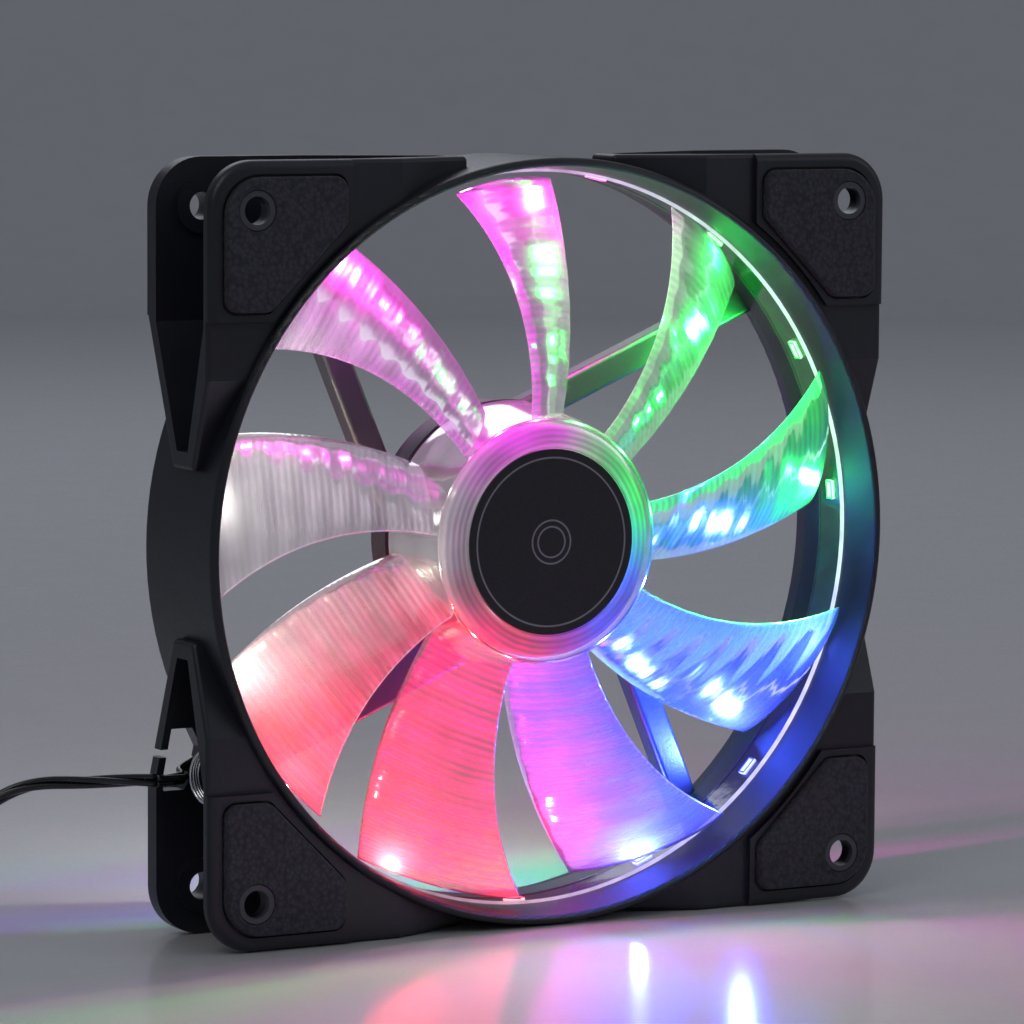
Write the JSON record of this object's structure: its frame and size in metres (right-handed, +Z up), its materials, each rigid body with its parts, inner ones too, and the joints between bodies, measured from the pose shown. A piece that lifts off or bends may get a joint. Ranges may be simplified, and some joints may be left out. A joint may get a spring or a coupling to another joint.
{
  "type": "case fan",
  "caption": "Square-framed axial cooling fan with a clear spinning impeller, a ring of coloured lamps inside the duct, grained corner pads and a thin cable with a small plug.",
  "frame": {"origin": "middle of the fan's base, on the surface it stands on, halfway through its depth; the cable is not counted", "axes": "+X to the right seen from the intake side, +Y from intake to exhaust along the rotor's line, +Z up"},
  "size_m": [0.2, 0.0311, 0.12],
  "materials": {
    "frame_plastic": "fine moulded grain, near black",
    "pad": "grained soft pad, dark grey",
    "clear_ring": "clear plastic liner",
    "strip_film": "white flexible circuit",
    "led_green": "lit green",
    "led_pink": "lit pink",
    "led_white": "lit white",
    "led_red": "lit red",
    "led_blue": "lit blue",
    "resistor": "small black chip",
    "steel_tube": "black cap",
    "bearing_plastic": "turned brass tube",
    "bronze": "sintered bronze",
    "seal": "white washer",
    "lamination": "stacked steel plates",
    "insulator": "white moulding",
    "copper": "enamelled copper wire",
    "board": "green circuit board",
    "chip": "black package",
    "capacitor": "tan chip capacitor",
    "label": "black satin label, plain",
    "bare_wire": "shiny fine wire",
    "cable_jacket": "glossy black insulation",
    "tie": "black strap",
    "plug": "black connector housing",
    "contact": "tinned contacts",
    "clear_plastic": "milky clear moulding with fine rings",
    "steel_cup": "drawn steel cup",
    "magnet": "plastic bonded magnet",
    "steel_shaft": "ground steel pin",
    "clip": "split washer"
  },
  "bodies": {
    "housing": {"frame": "frame_plastic", "front_pad_upper_left": "pad", "front_pad_upper_right": "pad", "front_pad_lower_right": "pad", "front_pad_lower_left": "pad", "rear_pad_upper_left": "pad", "rear_pad_upper_right": "pad", "rear_pad_lower_right": "pad", "rear_pad_lower_left": "pad", "light_ring": "clear_ring", "led_strip": "strip_film", "leds_green": "led_green", "leds_pink": "led_pink", "leds_white": "led_white", "leds_red": "led_red", "leds_blue": "led_blue", "led_resistors": "resistor", "bearing_tube": "bearing_plastic", "sleeve_bearing": "bronze", "oil_seal": "seal", "bearing_end_cap": "steel_tube", "stator_core": "lamination", "insulator_front": "insulator", "insulator_rear": "insulator", "winding_1": "copper", "winding_2": "copper", "winding_3": "copper", "winding_4": "copper", "motor_board": "board", "hall_sensor": "chip", "driver_chip": "chip", "capacitor": "capacitor", "rear_label": "label", "lead_loop": "bare_wire", "motor_leads": "cable_jacket", "cable": "cable_jacket", "cable_coil": "cable_jacket", "cable_end": "cable_jacket", "coil_tie": "tie", "plug_housing": "plug", "plug_contacts": "contact"},
    "rotor": {"impeller": "clear_plastic", "hub_label": "label", "rotor_cup": "steel_cup", "ring_magnet": "magnet", "shaft_bush": "bronze", "shaft": "steel_shaft", "shaft_clip": "clip"}
  },
  "joints": [
    {"name": "fan_spin", "type": "hinge", "parent": "housing", "child": "rotor", "pos_m": [0, 0, 0.06], "axis": [0, 1, 0], "continuous": true}
  ]
}
